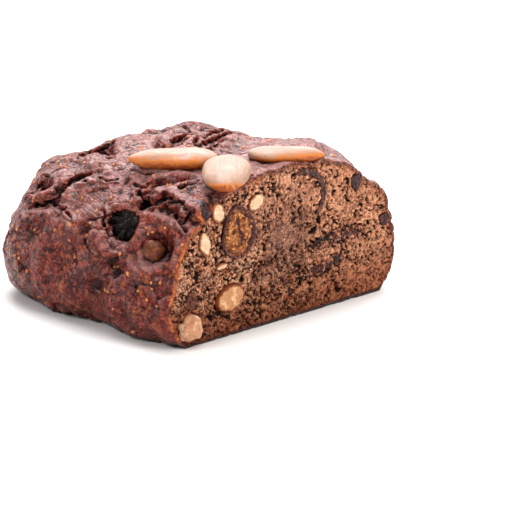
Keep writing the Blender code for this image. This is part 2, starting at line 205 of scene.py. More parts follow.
def srgb(red, green, blue):
    # a colour given as a screen shows it
    def linear(part):
        share = part / 255
        return share / 12.92 if share <= 0.04045 else ((share + 0.055) / 1.055) ** 2.4

    return (linear(red), linear(green), linear(blue), 1.0)


def huesOf(colours):
    return {name: srgb(*colour) for name, colour in colours.items()}


def newGroup(name, inputs, outputs):
    group = bpy.data.node_groups.new(name, "ShaderNodeTree")
    for side, sockets in (("INPUT", inputs), ("OUTPUT", outputs)):
        for label, kind in sockets.items():
            group.interface.new_socket(label, in_out=side, socket_type="NodeSocket" + kind)
    start = group.nodes.new("NodeGroupInput")
    end = group.nodes.new("NodeGroupOutput")
    return group, start.outputs, end.inputs


def makeWrinkleGroup():
    # crinkled skin: creases that wander, with finer ones between them
    group, given, result = newGroup(
        "wrinkledSkin",
        {"Vector": "Vector", "Size": "Float", "Stretch": "Float"},
        {"Height": "Float"},
    )
    scale = calc(group, "DIVIDE", 1.0, given["Size"])
    slow = calc(group, "MULTIPLY", scale, 0.4)
    drift = addNode(group, "TexNoise", {"Vector": given["Vector"], "Scale": slow})
    reach = calc(group, "MULTIPLY", given["Size"], 2.0)
    pull = addNode(group, "VectorMath", {0: drift.outputs["Color"], "Scale": reach}, operation="SCALE")
    moved = addNode(group, "VectorMath", {0: given["Vector"], 1: pull.outputs[0]}, operation="ADD")
    squeeze = addNode(group, "CombineXYZ", {0: given["Stretch"], 1: 1.0, 2: 1.0})
    shaped = addNode(group, "VectorMath", {0: moved.outputs[0], 1: squeeze.outputs[0]}, operation="MULTIPLY")
    total = None
    for finer, share in ((0.6, 0.6), (1.5, 0.4)):
        pace = calc(group, "MULTIPLY", scale, finer)
        field = addNode(group, "TexNoise", {"Vector": shaped.outputs[0], "Scale": pace, "Detail": 2.0})
        away = calc(group, "ABSOLUTE", calc(group, "SUBTRACT", field.outputs[0], 0.5))
        steep = calc(group, "MINIMUM", calc(group, "MULTIPLY", away, 7.0), 1.0)
        swell = calc(group, "MULTIPLY", calc(group, "SQRT", steep), share)
        total = calc(group, "ADD", total, swell) if total else swell
    group.links.new(total, result["Height"])
    return group


def makeToneGroup():
    # three colours that drift into each other
    group, given, result = newGroup(
        "driftingTone",
        {"Vector": "Vector", "Size": "Float", "Main": "Color", "Light": "Color", "Dark": "Color"},
        {"Color": "Color"},
    )
    scale = calc(group, "DIVIDE", 1.0, given["Size"])
    cloudy = {"Vector": given["Vector"], "Detail": 4.0, "Roughness": 0.6}
    broad = addNode(group, "TexNoise", {**cloudy, "Scale": scale})
    fine = addNode(group, "TexNoise", {**cloudy, "Scale": calc(group, "MULTIPLY", scale, 2.7)})
    lighter = mixed(group, ranged(group, broad.outputs[0], 0.48, 0.7), given["Main"], given["Light"])
    darker = mixed(group, ranged(group, fine.outputs[0], 0.52, 0.72), lighter, given["Dark"])
    group.links.new(darker, result["Color"])
    return group


wrinkledSkin = makeWrinkleGroup()
driftingTone = makeToneGroup()


def newMaterial(name, roughness=0.5, specular=0.5):
    material = bpy.data.materials.new(name)
    material.use_nodes = True
    tree = material.node_tree
    spot = addNode(tree, "TexCoord").outputs["Object"]
    shader = tree.nodes["Principled BSDF"].inputs
    shader["Roughness"].default_value = roughness
    shader["Specular IOR Level"].default_value = specular
    return material, tree, spot, shader


def addBump(tree, shader, height, depth):
    bump = addNode(tree, "Bump", {"Height": height, "Distance": depth * mm})
    tree.links.new(bump.outputs[0], shader["Normal"])


def wrinkles(tree, spot, size, stretch=1.0):
    values = {"Vector": spot, "Size": size * mm, "Stretch": stretch}
    return addNode(tree, "Group", values, node_tree=wrinkledSkin).outputs[0]


def tones(tree, spot, size, colours):
    main, light, dark = (srgb(*colour) for colour in colours)
    values = {"Vector": spot, "Size": size * mm, "Main": main, "Light": light, "Dark": dark}
    return addNode(tree, "Group", values, node_tree=driftingTone).outputs[0]


def patched(tree, spot, colour, patch):
    # cloudy patches of a tint over a colour
    size, detail, roughness, seed, low, high, share, tint = patch
    cloud = ranged(tree, noiseAt(tree, spot, size, detail, roughness, seed), low, high)
    return tinted(tree, colour, share, cloud, srgb(*tint))


# Shapes that more than one piece needs


def shapeFromNode(name):
    shape = bmesh.new()
    shape.from_mesh(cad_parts[name].data)
    bmesh.ops.remove_doubles(shape, verts=shape.verts, dist=mergeDistance)
    return shape


def remeshed(shape, voxel):
    # the shape made anew of small squares
    data = bpy.data.meshes.new("inTheWorks")
    shape.to_mesh(data)
    shape.free()
    holder = bpy.data.objects.new("inTheWorks", data)
    bpy.context.scene.collection.objects.link(holder)
    remesh = holder.modifiers.new("remesh", "REMESH")
    remesh.mode = "VOXEL"
    remesh.voxel_size = voxel * mm
    bpy.context.view_layer.update()
    result = bmesh.new()
    result.from_object(holder, bpy.context.evaluated_depsgraph_get())
    bpy.data.objects.remove(holder)
    bpy.data.meshes.remove(data)
    return result


def soften(shape, rounds):
    for _ in range(rounds):
        bmesh.ops.smooth_vert(
            shape, verts=shape.verts, factor=0.5, use_axis_x=True, use_axis_y=True, use_axis_z=True
        )


def swirl(spot):
    # three noises taken apart from each other, as one vector
    return Vector([noise.noise(spot + Vector((apart, 0.0, 0.0))) for apart in (13.1, 47.7, 91.3)])


def swirls(spot, waves):
    # waves of several sizes and reaches, added up
    return sum((reach * swirl(spot / size) for size, reach in waves), Vector())


def largestIsland(shape):
    # drops the small closed pockets that a remesh can leave inside
    left = set(shape.verts)
    islands = []
    while left:
        start = left.pop()
        island = [start]
        for vert in island:
            for edge in vert.link_edges:
                other = edge.other_vert(vert)
                if other in left:
                    left.remove(other)
                    island.append(other)
        islands.append(island)
    islands.sort(key=len)
    for island in islands[:-1]:
        bmesh.ops.delete(shape, geom=island, context="VERTS")


def raiseSkin(shape, amount):
    # moves every vertex along its normal by what amount says, in millimetres
    shape.normal_update()
    rises = [amount(vert.co / mm, vert.normal) * mm for vert in shape.verts]
    for vert, rise in zip(shape.verts, rises):
        vert.co += vert.normal * rise


def drawOut(shape, faces, distance):
    # pulls a flat patch along X, with walls behind it
    drawn = bmesh.ops.extrude_face_region(shape, geom=faces)["geom"]
    tips = [item for item in drawn if isinstance(item, bmesh.types.BMVert)]
    bmesh.ops.translate(shape, verts=tips, vec=(distance * mm, 0, 0))
    bmesh.ops.delete(shape, geom=[face for face in faces if face.is_valid], context="FACES_ONLY")


def setMask(shape, name, values):
    layer = shape.verts.layers.float.new(name)
    for vert, value in zip(shape.verts, values):
        vert[layer] = value


def hollowness(shape, rounds):
    # how far each spot lies below its surroundings, in millimetres
    calm = shape.copy()
    soften(calm, rounds)
    shape.normal_update()
    depths = [(there.co - here.co).dot(here.normal) / mm for here, there in zip(shape.verts, calm.verts)]
    calm.free()
    return depths


def addPiece(name, shape, material, slot, *nodes):
    data = bpy.data.meshes.new(name)
    shape.to_mesh(data)
    shape.free()
    data.shade_smooth()
    data.materials.append(material)
    piece = bpy.data.objects.new(name, data)
    bpy.context.scene.collection.objects.link(piece)
    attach(piece, body)
    if nodes:
        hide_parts(*nodes)
    print(f"{name}: {len(data.polygons)} faces")


# The crust

crust = {
    "voxel": 0.56,
    "pastCut": 2.5,  # the loaf is drawn out this far before it is cut again
    "pocketFill": 1.1,
    "overRaisin": 0.75,
    "swells": ((5.0, 0.42), (2.5, 0.25), (1.4, 0.14)),  # size and height
    "crags": (6.5, 0.45),
    "cragEdge": 2.2,  # how sharp the crags are
    "cragWaves": ((3.0, 0.5),),  # size and reach of the waves that bend something, as in all such lines
    "foldSize": 8.0,
    "foldDepth": 0.55,
    "foldWidth": 0.09,
    "foldWaves": ((5.0, 0.4),),
    "patchSize": 11.0,  # folds and crags come and go in patches this wide
    "patchShare": 0.25,
    "splitReach": 1.8,  # the faces this near to a split are made finer
    "splitWaves": ((1.2, 0.35),),
    "splitLip": (2.2, 0.3),  # how far off a split it stands, in half widths, and its share of the depth
    "sunkenWaves": ((1.9, 0.9),),
    "sunkenSize": 8.0,  # no sunken spot reaches farther than this
    "tornWaves": ((1.9, 1.0), (0.9, 0.5)),
    "calmNearCut": 4.0,  # the skin isn't pushed about right at the cut
    "rimWidth": 0.9,
    "rimDepth": 2.6,
    "hollowRounds": 24,
    "seed": 12.7,
}

# What the camera sees on the crust, in pixels of its 512 pixel frame.
# Splits in the skin: the points, then the half width and the depth in millimetres.
splits = (
    (((33, 193), (38, 188), (43, 183), (49, 181)), 0.5, 1.0),
    (((43, 175), (47, 177), (50, 176)), 0.45, 0.8),
    (((52, 173), (58, 170), (65, 168)), 0.4, 0.6),
    (
        ((30, 209), (34, 208), (38, 204), (42, 207), (47, 203), (53, 201), (56, 206), (61, 210), (66, 209)),
        0.5, 1.2,
    ),
    (((69, 185), (73, 181), (80, 178), (88, 176), (94, 176)), 0.5, 0.8),
    (((75, 183), (80, 181), (86, 180)), 0.5, 0.8),
    (((79, 159), (83, 155)), 0.6, 1.0),
    (((87, 152), (91, 156), (96, 153), (102, 152), (105, 155), (110, 159), (114, 159)), 0.55, 1.2),
    (((99, 150), (104, 148), (110, 146), (114, 142)), 0.55, 0.9),
    (((172, 143), (178, 140), (184, 137), (187, 135)), 0.6, 1.3),
    (((184, 127), (188, 130), (190, 134)), 0.5, 1.0),
    (((199, 137), (195, 142), (195, 146), (201, 146), (207, 143), (215, 140)), 0.6, 1.4),
    (((204, 137), (212, 133), (220, 131), (228, 128)), 0.45, 0.9),
    (((212, 143), (222, 136), (232, 132)), 0.45, 0.9),
    (((180, 188), (186, 184), (193, 183), (199, 180)), 0.65, 1.4),
    (((139, 192), (143, 197), (146, 203), (149, 208), (153, 211)), 0.8, 1.3),
    (((152, 204), (158, 202), (165, 197), (172, 199)), 0.7, 1.4),
    (((103, 211), (103, 218), (105, 225)), 0.6, 1.3),
    (((134, 185), (140, 188), (147, 187), (149, 184)), 0.4, 0.8),
    (((85, 240), (87, 248), (91, 253), (96, 258)), 0.35, 0.7),
    (((183, 223), (188, 217), (192, 211)), 0.6, 1.3),
    (((176, 216), (181, 224), (186, 232)), 0.5, 0.9),
    (((170, 203), (177, 202), (184, 206), (187, 212)), 0.5, 0.9),
    (((66, 213), (71, 217), (70, 222)), 0.4, 0.8),
    (((100, 178), (108, 181), (118, 180)), 0.35, 0.6),
    (((252, 159), (262, 163), (272, 165)), 0.4, 0.6),
    (((300, 166), (308, 163), (316, 165)), 0.6, 1.1),
)
# Sunken spots, darkened with painted shade, a few of them round dark fruit: the place, then the reach and the
# depth in millimetres.
sunken = (
    ((60, 194), 2.0, 0.9), ((109, 144), 2.0, 0.8), ((147, 205), 2.0, 1.0), ((165, 196), 1.5, 0.9),
    ((124, 222), 4.4, 1.0), ((132, 230), 2.4, 1.0), ((169, 256), 2.4, 1.2), ((117, 270), 2.0, 0.4),
    ((107, 294), 1.0, 0.6), ((134, 285), 0.8, 0.3), ((10, 220), 1.4, 0.4),
    ((205, 136), 1.4, 0.6), ((48, 292), 0.8, 0.3), ((140, 330), 0.8, 0.3),
    ((106, 189), 0.6, 0.5), ((311, 164), 1.5, 0.6),
)
# Torn places: where, how far they reach and how far the skin is pushed about.
torn = (
    ((124, 222), 6.5, 1.3), ((156, 252), 5.0, 0.7), ((117, 270), 4.5, 0.9), ((147, 203), 4.5, 1.0),
    ((180, 212), 4.5, 0.8), ((60, 192), 4.0, 0.8),
)


def crustRise(spot, normal):
    shifted = spot + Vector((crust["seed"],) * 3)
    rise = sum(height * noise.noise(shifted / size) for size, height in crust["swells"])
    distances, _ = noise.voronoi(shifted / crust["foldSize"] + swirls(shifted, crust["foldWaves"]))
    edge = (distances[1] - distances[0]) / crust["foldWidth"]
    patchy = max(0.0, noise.noise(shifted / crust["patchSize"]) + crust["patchShare"])
    cragSize, cragHeight = crust["crags"]
    bent = shifted / cragSize + swirls(shifted, crust["cragWaves"])
    crag = 1 - crust["cragEdge"] * abs(noise.noise(bent))
    rise += cragHeight * crag * (0.4 + patchy)
    return rise - crust["foldDepth"] * patchy * 2.0 * math.exp(-edge * edge)


def splitPoints(tree):
    # the splits as rows of points on the crust, each with its half width and depth
    points = []
    for path, width, depth in splits:
        for start, end in zip(path, path[1:]):
            steps = max(2, int(math.dist(start, end)))
            for step in range(steps):
                share = step / steps
                pixel = [a + (b - a) * share for a, b in zip(start, end)]
                hit = tree.ray_cast(*rayThrough(pixel))[0]
                if hit:
                    points.append((hit, width, depth))
    return points


def splitSkin(shape):
    # opens the splits and sinks the spots, darkens both with painted shade, with finer faces along them
    tree = BVHTree.FromBMesh(shape)
    points = splitPoints(tree)
    near = KDTree(len(points))
    for number, point in enumerate(points):
        near.insert(point[0], number)
    near.balance()
    finer = crust["splitReach"] * mm
    close = [edge for edge in shape.edges if near.find(edge.verts[0].co)[2] < finer]
    bmesh.ops.subdivide_edges(shape, edges=close, cuts=1, use_grid_fill=True)
    spots = [(tree.ray_cast(*rayThrough(pixel))[0], reach, depth) for pixel, reach, depth in sunken]
    tears = [(tree.ray_cast(*rayThrough(pixel))[0], reach, push) for pixel, reach, push in torn]
    # how much painted shade each spot gets, in the splits and sunken spots
    layer = shape.verts.layers.float.new("splitShade")
    lipAway, lipShare = crust["splitLip"]
    shape.normal_update()
    for vert in shape.verts:
        spot = vert.co / mm
        _, number, away = near.find((spot + swirls(spot, crust["splitWaves"])) * mm)
        _, width, depth = points[number]
        across = away / mm / width
        dark = math.exp(-across * across)
        sink = depth * dark - lipShare * depth * math.exp(-(across - lipAway) ** 2)
        astray = spot + swirls(spot, crust["sunkenWaves"])
        for place, reach, deep in spots:
            if place and max(abs(place.x - vert.co.x), abs(place.z - vert.co.z)) < crust["sunkenSize"] * mm:
                bowl = math.exp(-((place / mm - astray).length / reach) ** 4)
                sink += deep * bowl * (1 + 0.8 * noise.noise(spot / 1.1))
                dark = max(dark, bowl * (0.55 + 0.9 * noise.noise(spot / 0.9)))
        vert.co -= vert.normal * sink * mm
        calm = max(0.0, min(1.0, (cutX - vert.co.x) / (crust["calmNearCut"] * mm)))
        for place, reach, push in tears:
            away = (place - vert.co).length / mm / reach
            if away < 1.6:
                about = swirls(vert.co / mm, crust["tornWaves"])
                vert.co += about * push * calm * math.exp(-away ** 4) * mm
        vert[layer] = dark


def shapeCrust():
    # the crust, still open at the cut, and the edges round that opening
    shape = shapeFromNode("loaf")
    face = [f for f in shape.faces if all(abs(v.co.x - cutX) < 0.01 * mm for v in f.verts)]
    drawOut(shape, face, crust["pastCut"])
    filling = bpy.data.meshes.new("filling")
    for name in (*cutNodes, "raisin_shoulder"):
        fuller = crust["pocketFill"] if name in cutNodes else crust["overRaisin"]
        plug = shapeFromNode(name)
        raiseSkin(plug, lambda spot, normal: fuller)
        plug.to_mesh(filling)
        plug.free()
        shape.from_mesh(filling)
    bpy.data.meshes.remove(filling)
    shape = remeshed(shape, crust["voxel"])
    largestIsland(shape)
    soften(shape, 2)
    raiseSkin(shape, crustRise)
    splitSkin(shape)
    for vert in shape.verts:
        vert.co.z = max(vert.co.z, 0.0)
    underside = [face for face in shape.faces if all(vert.co.z < 0.001 * mm for vert in face.verts)]
    bmesh.ops.dissolve_faces(shape, faces=underside, use_verts=True)
    whole = shape.verts[:] + shape.edges[:] + shape.faces[:]
    cut = bmesh.ops.bisect_plane(
        shape, geom=whole, dist=0.02 * mm, plane_co=(cutX, 0, 0), plane_no=(1, 0, 0), clear_outer=True
    )
    rim = [item for item in cut["geom_cut"] if isinstance(item, bmesh.types.BMEdge)]
    return shape, rim


def finishCrust(shape):
    # closes the crust with a rim round the cut and a sunken bed that the crumb hides
    layer = shape.verts.layers.float.new("rim")
    edge = [e for e in shape.edges if e.is_boundary]
    cap = bmesh.ops.edgeloop_fill(shape, edges=edge)["faces"]
    bmesh.ops.inset_region(shape, faces=cap, thickness=crust["rimWidth"] * mm, use_boundary=True)
    for face in shape.faces:
        if all(abs(v.co.x - cutX) < 0.03 * mm for v in face.verts):
            for vert in face.verts:
                vert[layer] = 1.0
    drawOut(shape, cap, -crust["rimDepth"])
    # how deep each spot lies; it drives the painted shade in the hollows and the painted highlight on the
    # crests
    setMask(shape, "hollow", hollowness(shape, crust["hollowRounds"]))


# Cloudy patches in the crust's colour: the size of the clouds, the detail, roughness and seed of
# their noise, where they set in and are full, how strong they are and their tint.
crustPatches = {
    "mauve": (5.0, 4.0, 0.6, 3.0, 0.52, 0.64, 0.45, (100, 30, 38)),
    "shade": (3.4, 5.0, 0.65, 5.0, 0.48, 0.58, 0.85, (40, 9, 9)),
    "broad": (9.0, 3.0, 0.6, 6.0, 0.44, 0.58, 0.5, (66, 18, 16)),
    "pale": (1.5, 5.0, 0.7, 7.0, 0.5, 0.6, 0.6, (206, 96, 72)),
    "specks": (0.8, 4.0, 0.7, 9.0, 0.5, 0.6, 0.7, (30, 9, 10)),
    "ochre": (3.0, 3.0, 0.6, 11.0, 0.58, 0.64, 0.6, (176, 92, 46)),
}
crustColours = {
    "main": (104, 22, 16),
    "rusty": (122, 34, 13),
    "wrinkleShade": (48, 16, 16),
    "low": (108, 34, 18),
    "top": (176, 134, 130),  # painted sheen on the upper side, strongest on the side towards the camera
    "wrinkleShadeOverSheen": (60, 22, 22),
    # painted shade in the hollows
    "hollow": (30, 10, 9),
    # painted highlight on the crests
    "crestHighlight": (184, 108, 92),
    "splitShade": (16, 7, 7),
    "rimDark": (70, 26, 16),
    "rimPale": (158, 84, 48),
    "rimGlow": (222, 112, 52),
    "footShadow": (26, 10, 8),
}


def rimColour(tree, spot, across):
    # the baked edge round the cut, which glows at the near side
    grain = ranged(tree, noiseAt(tree, spot, 0.8, 2.0), 0.42, 0.6)
    colour = mixed(tree, grain, srgb(*crustColours["rimDark"]), srgb(*crustColours["rimPale"]))
    patchy = ranged(tree, noiseAt(tree, spot, 2.0, 3.0, 0.6, 15.0), 0.44, 0.56)
    glow = calc(tree, "MULTIPLY", ranged(tree, across, -26 * mm, -36 * mm), patchy)
    return tinted(tree, colour, 0.75, glow, srgb(*crustColours["rimGlow"]))


def crustMaterial():
    material, tree, spot, shader = newMaterial("bakedCrust", specular=0.27)
    hues = huesOf(crustColours)
    skin = wrinkles(tree, spot, 1.5)
    folds = wrinkles(tree, spot, 4.5, 0.6)
    rusty = ranged(tree, noiseAt(tree, spot, 7.0, 4.0, 0.6), 0.46, 0.6)
    colour = mixed(tree, rusty, hues["main"], hues["rusty"])
    for patch in crustPatches.values():
        colour = patched(tree, spot, colour, patch)
    # painted shade in the creases of the skin
    colour = tinted(tree, colour, 0.7, ranged(tree, skin, 0.45, 0.15), hues["wrinkleShade"])
    x, y, z = addNode(tree, "SeparateXYZ", {0: spot}).outputs
    colour = tinted(tree, colour, 0.4, ranged(tree, z, 13 * mm, 3 * mm), hues["low"])
    # painted sheen: faces that look up are tinted paler, more so on the side towards the camera
    facing = addNode(tree, "SeparateXYZ", {0: addNode(tree, "NewGeometry").outputs["Normal"]}).outputs[2]
    streaky = ranged(tree, noiseAt(tree, spot, 7.0, 5.0, 0.65, 13.0), 0.4, 0.6, -0.2, 0.1)
    top = ranged(tree, calc(tree, "ADD", facing, streaky), 0.25, 1.0)
    sheenNearSide = ranged(tree, calc(tree, "SUBTRACT", x, y), -20 * mm, 25 * mm, 0.08, 0.7)
    colour = tinted(tree, colour, sheenNearSide, top, hues["top"])
    # painted shade in the creases again, over the painted sheen
    colour = tinted(tree, colour, 0.4, ranged(tree, skin, 0.4, 0.15), hues["wrinkleShadeOverSheen"])
    # painted shade in the hollows, and a painted highlight on the crests
    hollow = maskOf(tree, "hollow")
    colour = tinted(tree, colour, 0.9, ranged(tree, hollow, 0.03, 0.35), hues["hollow"])
    colour = tinted(tree, colour, 0.3, ranged(tree, hollow, -0.1, -0.5), hues["crestHighlight"])
    # painted shade in the splits and sunken spots, where a few also hold dark fruit
    colour = mixed(tree, ranged(tree, maskOf(tree, "splitShade"), 0.25, 0.85), colour, hues["splitShade"])
    colour = mixed(tree, ranged(tree, maskOf(tree, "rim"), 0.3, 0.8), colour, rimColour(tree, spot, y))
    # painted contact shadow along the bottom edge
    colour = tinted(tree, colour, 0.85, ranged(tree, z, 2.2 * mm, 0.4 * mm), hues["footShadow"])
    tree.links.new(colour, shader["Base Color"])
    rough = ranged(tree, noiseAt(tree, spot, 5.0, 3.0), 0.4, 0.6, 0.12, 0.28)
    tree.links.new(rough, shader["Roughness"])
    grit = calc(tree, "MULTIPLY", noiseAt(tree, spot, 0.6, 3.0, 0.7), 0.4)
    fine = calc(tree, "ADD", calc(tree, "MULTIPLY", skin, 0.5), grit)
    addBump(tree, shader, calc(tree, "ADD", fine, calc(tree, "MULTIPLY", folds, 1.8)), 0.85)
    return material


# The crumb

crumb = {
    "grid": 0.19,
    "intoRim": 0.45,  # its edge is hidden this far inside the crust's rim
    "level": 0.12,  # how far it lies below the rim
    "bubbles": (2.5, 1.9, 0.8),  # the round pores: apart, deep, how many
    "bubbleWaves": ((1.7, 0.7), (0.6, 0.3)),
    "mesh": ((0.8, 0.55), (0.46, 0.5)),  # the fine open web: cell and share
    "meshWaves": ((1.9, 0.5),),
    "meshPatches": (5.0, 0.24),  # the web is closer in some places than in others
    "webDepth": 1.1,
    "webFrom": 0.06,
    "webTo": 0.26,
    "lean": 55.0,  # which way the fine pores are drawn out, in degrees
    "drawnOut": 0.85,
    "holeDepth": 2.3,
    "grain": ((0.5, 0.10), (3.5, 0.14)),
    "back": 2.5,  # how thick the crumb is made
    "moat": 0.3,  # how far round a piece it steps back
    "overFruit": 2.2,  # how raggedly the crumb laps over soft fruit
    "overPear": 0.9,  # and how much further over the pear
    "overSkin": 0.8,
    "greyMiddle": (cutX, -1.0 * mm, 23.0 * mm),
    "underPiece": 1.4,  # and how deep
}
# Torn holes and cracks that the camera sees: the pixel, the half sizes in millimetres and the
# turn in degrees.
seenHoles = (
    ((320, 220), (0.8, 1.5), 10.0),
    ((314, 230), (1.7, 1.0), 20.0),
    ((265, 248), (0.8, 1.3), -8.0),
    ((289, 241), (0.5, 1.6), -20.0),
    ((218, 243), (0.7, 1.2), 0.0),
    ((217, 261), (0.7, 0.8), 0.0),
    ((197, 276), (1.1, 1.5), 10.0),
    ((273, 260), (0.6, 0.6), 0.0),
    ((243, 279), (0.6, 1.2), 0.0),
    ((279, 196), (0.8, 0.7), 0.0),
    ((349, 181), (0.9, 1.0), 0.0),
    ((300, 283), (1.0, 0.7), 25.0),
    ((262, 290), (0.7, 1.0), 0.0),
    ((211, 318), (0.9, 0.8), 0.0),
    ((340, 290), (1.2, 0.6), 20.0),
)


def onCutPlane(pixel):
    # across and up, in millimetres, of what a pixel shows on the cut
    start, way = rayThrough(pixel)
    place = start + way * ((cutX - start.x) / way.x)
    return place.y / mm, place.z / mm


crumbHoles = [(onCutPlane(pixel), sizes, math.radians(turn)) for pixel, sizes, turn in seenHoles]


def crumbWeb(y, z):
    # above nought between the threads of the crumb, below it on them
    angle = math.radians(crumb["lean"])
    along = (y * math.cos(angle) + z * math.sin(angle)) * crumb["drawnOut"]
    aside = z * math.cos(angle) - y * math.sin(angle)
    spot = Vector((5.0, along, aside))
    spot += swirls(spot, crumb["meshWaves"])
    web = sum(share * noise.noise(spot / size) for size, share in crumb["mesh"])
    size, share = crumb["meshPatches"]
    return web + share * noise.noise(Vector((2.0, y / size, z / size)))


def bubbleDepth(y, z):
    # how deep a round pore is here, with one pore in most cells of a loose pattern
    apart, deepest, chance = crumb["bubbles"]
    spot = Vector((0.4, y, z))
    spot += swirls(spot, crumb["bubbleWaves"])
    distances, points = noise.voronoi(Vector((0.0, spot.y / apart, spot.z / apart)))
    draw = 0.5 + 0.5 * noise.noise(points[0] * 9.7)
    width = 0.42 * draw
    if draw > chance or distances[0] > width:
        return 0.0
    return deepest * math.sqrt(1 - (distances[0] / width) ** 2)


def holeDepth(y, z):
    deepest = 0.0
    for (middleY, middleZ), (halfLong, halfHigh), angle in crumbHoles:
        dy = y - middleY
        dz = z - middleZ
        along = (dy * math.cos(angle) + dz * math.sin(angle)) / halfLong
        aside = (dz * math.cos(angle) - dy * math.sin(angle)) / halfHigh
        away = along * along + aside * aside + 0.8 * noise.noise(Vector((0.0, y / 0.8, z / 0.8)))
        if away < 1:
            deepest = max(deepest, crumb["holeDepth"] * math.sqrt(1 - max(0.0, away)))
    return deepest


def crossingsAt(lines, z):
    # where a level line crosses the outline of the cut
    found = []
    for (startY, startZ), (endY, endZ) in lines:
        if (startZ > z) != (endZ > z):
            found.append(startY + (endY - startY) * (z - startZ) / (endZ - startZ))
    return sorted(found)


def crumbSheet(crustTree, lines):
    # a fine grid that stands at the cut and ends inside the crust's rim
    shape = bmesh.new()
    lowest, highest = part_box("loaf")
    width = highest.y - lowest.y
    height = highest.z - lowest.z
    step = crumb["grid"] * mm
    bmesh.ops.create_grid(shape, x_segments=int(width / step), y_segments=int(height / step), size=0.5)
    turn = Matrix(((0, 0, 1), (1, 0, 0), (0, 1, 0))).to_4x4()  # flat on the floor to upright, facing +X
    middle = Matrix.Translation((cutX, (lowest.y + highest.y) / 2, (lowest.z + highest.z) / 2))
    size = Matrix.Diagonal((width, height, 1.0, 1.0))
    bmesh.ops.transform(shape, verts=shape.verts, matrix=middle @ turn @ size)
    outside = []
    rows = {}
    for vert in shape.verts:
        row = round(vert.co.z / step)
        if row not in rows:
            rows[row] = crossingsAt(lines, vert.co.z)
        inside = bisect.bisect(rows[row], vert.co.y) % 2
        if not inside or crustTree.find_nearest(vert.co)[3] < crumb["intoRim"] * mm:
            outside.append(vert)
    bmesh.ops.delete(shape, geom=outside, context="VERTS")
    return shape


def piecesInCrumb():
    # each cut piece's box, form, and how raggedly and how far the crumb laps over it
    pieces = []
    for name in cutNodes:
        low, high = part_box(name)
        piece = shapeFromNode(name)
        ragged = crumb["overFruit"] if name in softFruit else 0.0
        if name == "fig_curl":
            ragged = crumb["overSkin"]
        lap = crumb["overPear"] if name.startswith("pear") else 0.0
        box = (low.y - mm, high.y + mm, low.z - mm, high.z + mm)
        pieces.append((box, BVHTree.FromBMesh(piece), ragged, lap))
        piece.free()
    return pieces


def depthUnderPieces(place, pieces):
    # the crumb steps back where a piece fills it
    deepest = -math.inf
    probe = Vector((cutX - 0.4 * mm, place.y, place.z))
    for (lowY, highY, lowZ, highZ), tree, ragged, lap in pieces:
        if lowY < place.y < highY and lowZ < place.z < highZ:
            near, normal, _, away = tree.find_nearest(probe)
            away = away / mm if (probe - near).dot(normal) > 0 else -away / mm
            away += lap + ragged * noise.noise(Vector((8.0, place.y / mm / 0.9, place.z / mm / 0.9)))
            if away < crumb["moat"]:
                deepest = max(deepest, crumb["underPiece"] * min(1.0, (crumb["moat"] - away) / 0.5))
    return deepest


def makeCrumb(crustTree, lines, material):
    shape = crumbSheet(crustTree, lines)
    pieces = piecesInCrumb()
    masks = {"shadedPore": [], "nearEdge": [], "web": []}
    for vert in shape.verts:
        spot = vert.co / mm
        web = crumbWeb(spot.y, spot.z)
        opened = min(1.0, max(0.0, (web - crumb["webFrom"]) / (crumb["webTo"] - crumb["webFrom"])))
        hollow = max(opened * crumb["webDepth"], bubbleDepth(spot.y, spot.z), holeDepth(spot.y, spot.z))
        depth = crumb["level"] + hollow + 0.4 * min(0.0, web)
        for grain, amount in crumb["grain"]:
            depth += amount * noise.noise(Vector((1.7, spot.y / grain, spot.z / grain)))
        inward = crustTree.find_nearest(vert.co)[3] / mm
        depth = max(depth, 0.9 * (crust["rimWidth"] + 0.1 - inward) / 0.4)  # under the rim
        depth = max(depth, depthUnderPieces(vert.co, pieces))
        vert.co.x = cutX - min(depth, crumb["back"] - 0.15) * mm
        # the depth also drives the painted shade in the pores
        masks["shadedPore"].append(depth)
        masks["nearEdge"].append(inward)
        masks["web"].append(web)
    for name, values in masks.items():
        setMask(shape, name, values)
    edge = [e for e in shape.edges if e.is_boundary]
    skirt = bmesh.ops.extrude_edge_only(shape, edges=edge)["geom"]
    for item in skirt:
        if isinstance(item, bmesh.types.BMVert):
            item.co.x = cutX - crumb["back"] * mm
    loop = [e for e in skirt if isinstance(e, bmesh.types.BMEdge)]
    bmesh.ops.edgeloop_fill(shape, edges=loop)
    bmesh.ops.recalc_face_normals(shape, faces=shape.faces)
    addPiece("crumb", shape, material, "crumb")


crumbTones = ((184, 112, 78), (198, 114, 66), (124, 68, 50))
crumbColours = {
    "thread": (255, 212, 174),
    "shadedPore": (36, 12, 7),
    "mottled": (166, 122, 108),  # multiplied, as is the next
    "shadeLowDown": (186, 148, 120),
    "openWeb": (222, 170, 134),
    "greyMiddle": (98, 58, 50),
    "far": (244, 166, 124),
    "highUp": (244, 170, 132),
    # painted shade deep in the pores
    "deep": (36, 14, 9),
    "nearRim": (150, 74, 40),
}
# Two more patches, given as those of the crust are.
rustyCrumb = (1.3, 3.0, 0.6, 25.0, 0.57, 0.64, 0.6, (200, 104, 42))
brownClouds = (5.0, 3.0, 0.6, 27.0, 0.48, 0.6, 0.25, (100, 50, 32))


